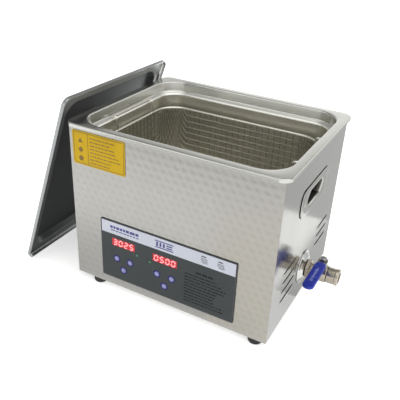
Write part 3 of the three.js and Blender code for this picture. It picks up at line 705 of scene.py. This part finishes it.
def basket_mesh(half_x, half_y, floor, top):
    """Welded wires: straight over the floor and the flat walls, and drawn into a trellis in the corners."""
    corner, pitch, thin = 36, 10.2, 0.6
    height = top - floor
    flat_x, flat_y = half_x - corner, half_y - corner
    levels = [height - 10 - pitch * step for step in range(9)]
    wires = []

    def corner_point(angle, rise, sign_x, sign_y, swap, grow):
        """A point on a corner's face. The angle starts at the wall that the wire climbs to."""
        radius = corner + grow
        along, across = radius * math.sin(angle), radius * math.cos(angle)
        x, y = (flat_x + across, flat_y + along) if swap else (flat_x + along, flat_y + across)
        return Vector((sign_x * x, sign_y * y, floor + rise))

    def climb(offset, sign_x, sign_y, swap, grow):
        """From the floor's edge, or from the next flat wall, up to the rim."""
        start = math.asin(offset / corner) if offset < corner else math.pi / 2
        points = []
        steps = 60
        for step in range(steps):
            angle = start * (1 - step / steps)
            rise = (offset - corner * math.sin(angle)) * math.pi / 2 / angle
            if rise >= height:
                break
            points.append(corner_point(angle, rise, sign_x, sign_y, swap, grow))
        return points

    for swap, grow in ((False, thin), (True, -thin)):
        flat, reach = (flat_y, half_x) if swap else (flat_x, half_y)
        lift = 2 * thin if swap else 0

        def at(along, across, rise):
            """A point given by its place along the row of wires, and along the wire itself."""
            return Vector((across, along, floor + rise)) if swap else Vector((along, across, floor + rise))

        def round_corners(offset, sign):
            """A wire along one end: down from the rim through one corner, and up through the other."""
            ends = [(-1, sign), (1, sign)] if swap else [(sign, -1), (sign, 1)]
            down, up = (climb(offset, sx, sy, swap, grow) for sx, sy in ends)
            return list(reversed(down)) + up

        first = 0.0 if swap else -2.7
        count = int((flat + corner) // pitch) + 1
        for index in range(-count, count + 1):
            place = first + index * pitch
            beyond = abs(place) - flat
            if beyond <= 0:
                end = reach + grow
                bend = [(-end, height, 0), (-end, lift, 6), (end, lift, 6), (end, height, 0)]
                wires.append([at(place, across, rise) for across, rise in rounded_path(bend, 4)])
            elif beyond < corner - 1.5:
                path = round_corners(beyond, 1 if place > 0 else -1)
                for point in path:
                    point.z = max(point.z, floor + lift)
                wires.append(path)
        for sign in (-1, 1):
            wires += [round_corners(corner + level, sign) for level in levels]
    return merged(*(tube(path, thin, 6) for path in wires))


def basket():
    wire_top = Extent("basket_rim")
    cage = Extent("basket_cage")
    rim_radius = (wire_top.z1 - wire_top.z0) / 2
    half_x, half_y = wire_top.x1 - rim_radius, wire_top.y1 - rim_radius
    loop = rounded_outline(half_x, half_y, 36, 16)
    form = tube([(x, y, wire_top.z) for x, y in loop], rim_radius, 14, closed=True)
    piece("basket_rim_wire", form, "basket", lit_wire_steel, ["basket_rim"], smooth=80)
    form = basket_mesh(half_x - 1.4, half_y - 1.4, cage.z0 + 0.8, wire_top.z - 0.4)
    piece("basket_mesh", form, "basket", shaded_mesh_steel, ["basket_cage"], smooth=80)

    for side, name in SIDES:
        node = f"basket_handle_{name}"
        box = Extent(node)
        radius = 1.75
        bar_x = (box.x0 + radius) if side < 0 else (box.x1 - radius)
        knee_x = side * (half_x + 1.6)
        bar_z, reach = box.z1 - radius, box.y1 - radius
        foot_x = side * half_x
        route = [(foot_x, -reach, wire_top.z - 24, 0), (foot_x, -reach, wire_top.z, 6)]
        route += [(knee_x, -reach, bar_z, 3), (bar_x, -reach, bar_z, 3)]
        route += [(x, -y, z, bend) for x, y, z, bend in reversed(route)]
        bail = tube(rounded_path(route, 5), radius, 12)
        piece(f"basket_bail_{name}", bail, "basket", lit_wire_steel, [node], smooth=80)


# ---------------- lid


def lid():
    box = Extent("lid")
    lean = math.radians(19.56)
    half_x, half_y, lip, crown, border = 156, (box.y1 - box.y0) / 2, 6.5, 9, 15
    origin = (box.x1 - half_x * math.sin(lean), box.y, box.z0 + half_x * math.cos(lean))
    place = Matrix.Translation(origin) @ Matrix.Rotation(lean - math.pi / 2, 4, "Y")
    inside = [
        (border + 13, lip + crown - 1, 0), (border + 7.3, lip + crown - 1, 4),
        (border + 1, lip - 1, 3), (1, lip - 1, 2), (1, 0, 0),
    ]
    outside = [
        (0, 0, 0), (0, lip, 3), (border, lip, 3), (border + 6.6, lip + crown, 4),
        (border + 12.8, lip + crown, 0),
    ]
    profile = rounded_path(inside, 5) + rounded_path(outside, 5)

    def corner(inset):
        """The lid's corners are tight, and those of its raised middle are wider."""
        share = min(max((inset - 3) / 12, 0), 1)
        return (13 - inset) * (1 - share) + (39 - inset) * share

    form = moved(loft(half_x, half_y, profile, corner, steps=14), place)
    faces = form[1]
    around = len(faces[-1])
    walls = len(rounded_path(inside[:3], 5)) - 1
    flat = len(rounded_path(inside[:4], 5)) - 1
    hollow = [*range(walls * around), len(faces) - 2]
    border_faces = range(walls * around, flat * around)
    lip_faces = range(flat * around, len(rounded_path(inside, 5)) * around)
    # The hollow is painted dark as shade and the lip's edge light as a highlight; the border between them is
    # lighter than the hollow.
    painted_stretches = [(lid_inside, hollow), (lid_border, border_faces), (lid_lip, lip_faces)]
    piece("lid_pan", form, "lid", lid_steel, ["lid"], smooth=50, others=painted_stretches)

    top = lip + crown + 0.1
    route = [(-48, 0, top, 0), (-48, 0, top + 26, 14), (48, 0, top + 26, 14), (48, 0, top, 0)]
    grip = tube(rounded_path(route, 8), 5, 20)
    boss = lathe([(0.0, 0.0, 0), (9.0, 0.0, 0), (9.0, 2.4, 1), (6.0, 4.2, 2), (0.0, 4.2, 0)], 32)
    form = moved(merged(grip, shifted(boss, -48, 0, top), shifted(boss, 48, 0, top)), place)
    piece("lid_grip", form, "lid", black, ["lid_handle"], smooth=60)


# ---------------- control panel and label


def word_bars(x0, x1, z, height, source, share=1.0):
    """A line of generic marks in place of words: bars of different lengths with gaps between them."""
    bars = []
    x, end = x0, x0 + (x1 - x0) * share
    while x < end - 2:
        length = source.uniform(3, 9)
        bars.append(rectangle(x, min(x + length, end), z, z + height))
        x += length + 1.3
    return bars


def printed(name, outlines, material, face=None, lift=0.06):
    """Thin printed marks on the control panel's face, or on another one."""
    front = (film_face if face is None else face) - lift
    forms = [plate(outline, front, front + lift) for outline in outlines]
    return piece(name, merged(*forms), "case", material)


SEGMENTS = {"0": "abcdef", "2": "abged", "3": "abgcd", "5": "afgcd"}


def digit(text, x, z, width, height, stroke):
    """The lit segments of one character, slanted a little."""
    half = height / 2
    level = {"a": height, "g": half, "d": 0}
    upright = {"f": (0, half), "e": (0, 0), "b": (width, half), "c": (width, 0)}
    outlines = []
    tip, gap = stroke / 2, 0.35
    for segment in SEGMENTS[text]:
        along, up = (0, level[segment]) if segment in level else upright[segment]
        length = width if segment in level else half
        bar = [
            (gap, 0), (gap + tip, -tip), (length - gap - tip, -tip), (length - gap, 0),
            (length - gap - tip, tip), (gap + tip, tip),
        ]
        if segment in upright:
            bar = [(v, u) for u, v in bar]
        outlines.append([(x + along + u + 0.12 * (up + v), z + up + v) for u, v in bar])
    return outlines


def displays():
    for node, text in (("timer_display", "3025"), ("heat_display", "0500")):
        box = Extent(node)
        dress(node, lens_red)
        width, height = 5.4, 8.8
        left, bottom = box.x - 17.4, box.z - height / 2
        outlines = []
        for index, character in enumerate(text):
            outlines += digit(character, left + index * 9.4, bottom, width, height, 2.0)
        printed(f"{node}_digits", outlines, digit_red, face=film_face + 0.1)


def buttons():
    rings = []
    for body in sorted(name for name in frame["bodies"] if name.startswith("button_")):
        box = Extent(body)
        radius = (box.x1 - box.x0) / 2
        rings.append(ring_plate(box.x, box.z, radius + 0.3, radius + 2.1, film_face - 0.1, film_face))
        depth = box.y1 - box.y0
        profile = [
            (0.0, 0.0, 0), (1.5, 0.0, 0), (1.5, depth - 4.2, 0.2), (radius, depth - 4.2, 0.2),
            (radius, depth - 0.5, 0.5), (radius - 1.2, depth - 0.15, 1.5), (0.0, depth, 0),
        ]
        cap = moved(lathe(profile, 32), Matrix.Translation((box.x, box.y1, box.z)) @ ALONG_MINUS_Y)
        piece(f"{body}_cap", cap, body, button_cap, [body])
        faces_y = (box.y0 - 0.02, box.y0 + 0.1)
        mark, cross = (
            plate(rectangle(box.x - wide, box.x + wide, box.z - tall, box.z + tall), *faces_y)
            for wide, tall in ((0.35, 1.6), (1.6, 0.35))
        )
        marks = merged(mark, cross) if body.endswith("up") else cross
        piece(f"{body}_mark", marks, body, film_pale)
    piece("button_rings", merged(*rings), "case", button_ring)


def control_panel():
    dress("control_panel", film_grey)
    x0, x1, z0, z1 = film.x0, film.x1, film.z0, film.z1
    edge = [
        rectangle(x0 + 0.4, x1 - 0.4, z1 - 1.9, z1 - 0.4),
        rectangle(x0 + 0.4, x1 - 0.4, z0 + 0.4, z0 + 1.6),
        rectangle(x0 + 0.4, x0 + 1.9, z0 + 1.6, z1 - 1.9),
        rectangle(x1 - 1.9, x1 - 0.4, z0 + 1.6, z1 - 1.9),
    ]
    printed("panel_edge", edge, film_edge)
    strip = rectangle(x0 + 1.9, x1 - 1.9, z1 - 21.5, z1 - 1.9)
    printed("panel_strip", [strip], film_pale)

    source = random.Random(4)
    words = word_bars(x0 + 17, x0 + 66, z1 - 12, 4.2, source)
    words += word_bars(x0 + 18, x0 + 66, z1 - 16, 1.6, source)
    badge = [
        rectangle(x0 + 93.4, x0 + 123.4, z1 - 18, z1 - 16.4),
        rectangle(x0 + 93.4, x0 + 123.4, z1 - 7.6, z1 - 6),
        *(rectangle(x0 + x, x0 + x + 3, z1 - 15.4, z1 - 8.6) for x in (95.5, 101, 106.5)),
        rectangle(x0 + 112, x0 + 121.4, z1 - 11.4, z1 - 9.4),
        rectangle(x0 + 112, x0 + 121.4, z1 - 15, z1 - 13),
    ]
    icons = []
    for x in (x0 + 167, x0 + 192):
        icons += [
            rectangle(x, x + 7, z1 - 7.6, z1 - 6.2),
            rectangle(x - 1, x + 9, z1 - 10.5, z1 - 9.8),
            rectangle(x - 1, x + 9, z1 - 12.6, z1 - 11.9),
            rectangle(x, x + 10, z1 - 14.8, z1 - 14.1),
            rectangle(x + 1, x + 10, z1 - 17, z1 - 16.3),
        ]
    printed("panel_words", words, film_blue, lift=0.12)
    printed("panel_badge", badge, film_blue, lift=0.12)
    printed("panel_icons", icons, film_ink, lift=0.12)

    lines = word_bars(x0 + 160, x0 + 186, z0 + 61, 2.4, source)
    for index in range(10):
        share = source.uniform(0.7, 1.0)
        lines += word_bars(x0 + 142, x0 + 208, z0 + 55 - index * 5.1, 1.5, source, share)
    printed("panel_lines", lines, film_ink)

    places = ((x0 + 63, z0 + 55), (x0 + 85, z0 + 52))
    lamps = [ring_plate(x, z, 0.01, 1.5, film_face - 0.2, film_face, 20) for x, z in places]
    piece("indicator_lamps", merged(*lamps), "case", lamp_green)
    displays()
    buttons()


def front_label():
    dress("front_label", yellow)
    box = Extent("front_label")
    x0, x1, z0, z1 = box.x0, box.x1, box.z0, box.z1
    line = 0.9
    frame_lines = [
        rectangle(x0 + 3, x1 - 3, z1 - 1.8 - line, z1 - 1.8),
        rectangle(x0 + 3, x1 - 3, z0 + 1.8, z0 + 1.8 + line),
        rectangle(x0 + 1.8, x0 + 1.8 + line, z0 + 3, z1 - 3),
        rectangle(x1 - 1.8 - line, x1 - 1.8, z0 + 3, z1 - 3),
        rectangle(x0 + 26, x0 + 26 + line, z0 + 3, z1 - 3),
    ]
    source = random.Random(9)
    lines = []
    for index in range(8):
        lines += word_bars(x0 + 30, x1 - 5, z1 - 8.5 - index * 5.2, 1.5, source, source.uniform(0.6, 1.0))
    marks = []
    for index, z in enumerate((z0 + 36, z0 + 23, z0 + 10)):
        x = x0 + 14
        sides = 3 + index
        angles = [math.pi / 2 + 2 * math.pi * k / sides for k in range(sides)]
        marks.append([(x + 4.6 * math.cos(a), z + 4.6 * math.sin(a)) for a in angles])
    printed("label_frame", frame_lines, label_ink, face=box.y0)
    printed("label_lines", lines, label_ink, face=box.y0)
    printed("label_marks", marks, label_ink, face=box.y0)


# ---------------- drain valve


def hexagon(across_flats, x0, x1, chamfer, bore=0.0):
    """A hexagonal section along X with chamfered ends."""
    radius = across_flats / math.sqrt(3)
    rings = []
    steps = [(x0, radius - chamfer), (x0 + chamfer / 2, radius)]
    steps += [(x1 - chamfer / 2, radius), (x1, radius - chamfer)]
    if bore:
        steps += [(x1, bore), (x0, bore)]
    for x, size in steps:
        angles = [math.pi / 3 * k + math.pi / 6 for k in range(6)]
        rings.append([(x, size * math.cos(a), size * math.sin(a)) for a in angles])
    return skin(rings, closed=bool(bore))


def drain_valve():
    plate_box = Extent("valve_escutcheon")
    height = plate_box.z
    face, radius = plate_box.x0, (plate_box.y1 - plate_box.y0) / 2
    profile = [
        (11.6, 0.0, 0), (radius, 0.0, 0.1), (radius, 1.4, 0.6), (radius - 3.2, 2.6, 1.5),
        (16.5, 6.2, 3), (11.6, 6.6, 0.5), (11.6, 0.0, 0),
    ]
    form = moved(lathe(profile, 72, 5), Matrix.Translation((face, 0, height)) @ ALONG_X)
    piece("escutcheon_dish", form, "case", polished, ["valve_escutcheon"], smooth=50)

    body = Extent("valve_body")
    stem = Extent("valve_stem")
    turned = [
        (0.0, body.x0, 0), (10.5, body.x0, 0.4), (10.5, 172.6, 0.4), (9.2, 173.4, 0.4),
        (9.2, 177.5, 0.6), (12.9, 179, 1.4), (12.9, body.x1 - 0.6, 0.6), (6.2, body.x1, 0),
        (6.2, body.x1 - 6, 0), (0.0, body.x1 - 6, 0),
    ]
    shell = moved(lathe(turned, 56, 4), ALONG_X)
    nut = hexagon(26, 166.3, 172.2, 1.2)
    boss = lathe([(0.0, 6.0, 0), (7.5, 6.0, 0), (7.5, 13.4, 0.8), (6.4, 15.0, 0.5), (0.0, 15.0, 0)], 40)
    form = shifted(merged(shell, nut, shifted(boss, stem.x, 0, 0)), z=height)
    piece("valve_housing", form, "case", valve_steel, ["valve_body"])

    outlet = Extent("outlet_fitting")
    collar = (outlet.z1 - outlet.z0) / 2
    profile = [
        (8.0, outlet.x0, 0), (collar - 0.7, outlet.x0, 0.3), (collar - 0.7, outlet.x1 - 5.2, 0.8),
        (collar, outlet.x1 - 4.4, 0.6), (collar, outlet.x1 - 1, 0.8), (collar - 1, outlet.x1, 0.4),
        (8.0, outlet.x1, 0.5), (8.0, outlet.x0, 0),
    ]
    form = shifted(moved(lathe(profile, 56, 4), ALONG_X), z=height)
    piece("outlet_spigot", form, "case", valve_steel, ["outlet_fitting"])

    for node in ("valve_ball", "valve_stem", "valve_locknut", "drain_pipe"):
        dress(node, brass if node == "valve_locknut" else satin)
    dress("valve_lever", satin, bevel=0.4)
    cover = Extent("lever_sleeve")
    half_width, half_length = (cover.x1 - cover.x0) / 2, (cover.y1 - cover.y0) / 2
    thick = cover.z1 - cover.z0
    rings = []
    section = [(half_width, 0, 0), (0, 0, 2.2), (0, thick, 2.2), (half_width, thick, 0)]
    for inset, z in rounded_path(section, 5):
        size = min(inset, half_width - 0.6)
        outline = rounded_outline(half_width - size, half_length - size, max(7.6 - size, 0.5), 8)
        rings.append([(x, y, z) for x, y in outline])
    form = shifted(skin(rings), cover.x, cover.y, cover.z0)
    piece("lever_cover", form, "valve", blue, ["lever_sleeve"], smooth=60)
    marks = []
    for index in range(12):
        middle = cover.y - half_length + 17 + index * 2.9
        across = 2.2 - 0.5 * (index % 3)
        sides = (cover.x - across, cover.x + across, middle - 0.6, middle + 0.6)
        marks.append(block(*sides, cover.z1 - 0.15, cover.z1 + 0.05))
    piece("lever_marks", merged(*marks), "valve", mark_pale)
    nut_box = Extent("lever_nut")
    form = moved(hexagon(10, 0, nut_box.z1 - nut_box.z0, 0.7), Matrix.Rotation(-math.pi / 2, 4, "Y"))
    form = shifted(form, nut_box.x, nut_box.y, nut_box.z0)
    piece("lever_cap_nut", form, "valve", polished, ["lever_nut"])


# ---------------- rear and inside


def rear_and_inside():
    """The mains parts and the works keep their CAD shapes and get finished materials."""
    for node in ("power_inlet", "fuse_holder", "switch_housing", "power_switch", "fan_frame", "fan_rotor"):
        dress(node, black, bevel=0.3)
    inner = {board: ("control_board", "generator_board"), silicone: ("heater_front", "heater_rear")}
    inner |= {machined: ("thermostat", "heatsink"), iron: ("transformer",)}
    for material, nodes in inner.items():
        for node in nodes:
            dress(node, material)
    for number in range(1, 5):
        dress(f"transducer_horn_{number}", machined)
        dress(f"transducer_stack_{number}", ceramic)


# ---------------- floor, light


def sky():
    """A white surround that turns grey overhead, and is a little brighter on the right."""
    world = bpy.data.worlds.new("studio")
    bpy.context.scene.world = world
    world.use_nodes = True
    tree = world.node_tree
    background = tree.nodes["Background"]
    place = tree.nodes.new("ShaderNodeTexCoord")
    parts = tree.nodes.new("ShaderNodeSeparateXYZ")
    tree.links.new(place.outputs["Generated"], parts.inputs[0])
    ramp = tree.nodes.new("ShaderNodeValToRGB")
    stops = ((0.0, 1.0), (0.37, 1.0), (0.43, 0.5), (0.6, 0.36), (1.0, 0.42))
    ramp.color_ramp.elements.remove(ramp.color_ramp.elements[1])
    for index, (height, level) in enumerate(stops):
        stop = ramp.color_ramp.elements[0] if index == 0 else ramp.color_ramp.elements.new(height)
        stop.position = height
        stop.color = (level, level, level * 0.98, 1)
    tree.links.new(parts.outputs["Z"], ramp.inputs["Fac"])
    tree.links.new(ramp.outputs["Color"], background.inputs["Color"])
    sideways = tree.nodes.new("ShaderNodeMapRange")
    sideways.interpolation_type = "SMOOTHSTEP"
    set_inputs(sideways, {"From Min": -0.5, "From Max": -0.36, "To Min": 0.85, "To Max": 1.35})
    tree.links.new(parts.outputs["X"], sideways.inputs["Value"])
    tree.links.new(sideways.outputs["Result"], background.inputs["Strength"])


def paper(name, color):
    """The floor's white, which glows faintly, or a darker shade of it."""
    shader = Shader(name, [0.9 * channel for channel in color], 0.6)
    shader.vary_roughness(shader.noise(8), 0.05)
    shader.constant(Emission_Color=(*color, 1), Emission_Strength=0.5)
    return shader.material


def lamp(name, light, place, target):
    made = bpy.data.objects.new(name, light)
    made.location = place
    direction = Vector(target) - Vector(place)
    made.rotation_mode = "QUATERNION"
    made.rotation_quaternion = direction.to_track_quat("-Z", "Y")
    made.visible_camera = False
    bpy.context.scene.collection.objects.link(made)


def softbox(name, place, target, width, height, power):
    light = bpy.data.lights.new(name, "AREA")
    light.shape = "RECTANGLE"
    light.size, light.size_y, light.energy = width, height, power
    lamp(name, light, place, target)


# Painted shade: cards that only the steel's reflections see stand in for darker surroundings, and the card
# under the lid for the lid's shadow.
# Duller stretches of the floor, which only reflections see: the outline on the floor, the share of the
# floor's brightness, and a tint.
PLAIN = (1, 1, 1)
PAINTED_SHADE_CARDS = {
    "right": ([(150, 256), (3000, 256), (3000, 3000), (100, 3000)], 0.48, PLAIN),
    "right_near": ([(162, 5), (198, 5), (198, 254), (162, 254)], 0.5, PLAIN),
    "right_low": ([(162, -140), (200, -140), (200, 5), (162, 5)], 0.83, PLAIN),
    "front_right": ([(60, -142), (220, -142), (120, -480), (-90, -480)], 0.9, (1, 0.97, 0.9)),
    "front_low": ([(-280, -142), (60, -142), (20, -270), (-300, -270)], 0.76, PLAIN),
    "front_far": ([(-560, -622), (80, -622), (80, -1200), (-760, -1200)], 0.4, PLAIN),
    "under_lid": ([(-262, -136), (-161, -136), (-161, 420), (-262, 420)], 0.15, PLAIN),
}


def studio():
    bpy.context.scene.view_settings.view_transform = "Standard"
    size = 6
    corners = [(-size, -size, 0), (size, -size, 0), (size, size, 0), (-size, size, 0)]
    floor_sheet("floor", corners, paper("floor_white", PLAIN))
    sky()

    centre = row(0, 0, 150)
    sun = bpy.data.lights.new("soft_sun", "SUN")
    sun.energy = 1.4
    sun.angle = math.radians(80)
    lamp("soft_sun", sun, (0.8, -0.5, 2.0), (0, 0, 0))
    softbox("front_left", (-1.2, -1.5, 1.1), centre, 1.4, 1.4, 4)
    for name, (outline, share, tint) in PAINTED_SHADE_CARDS.items():
        reflection_shade_card(f"card_{name}", outline, share, tint)


def floor_sheet(name, corners, material):
    """A flat stretch of the studio's floor."""
    mesh = bpy.data.meshes.new(name)
    mesh.from_pydata(corners, [], [tuple(range(len(corners)))])
    mesh.materials.append(material)
    made = bpy.data.objects.new(name, mesh)
    bpy.context.scene.collection.objects.link(made)
    return made


def reflection_shade_card(name, outline, share, tint):
    """A grey card on the floor that only reflections see, with a share of the floor's own brightness:
    painted shade.
    """
    corners = [row(x, y, 0.5) for x, y in outline]
    card = floor_sheet(name, corners, paper(f"{name}_grey", [share * channel for channel in tint]))
    card.visible_camera = False
    card.visible_diffuse = False
    card.visible_shadow = False


case()
tank()
basket()
lid()
control_panel()
front_label()
drain_valve()
rear_and_inside()
studio()
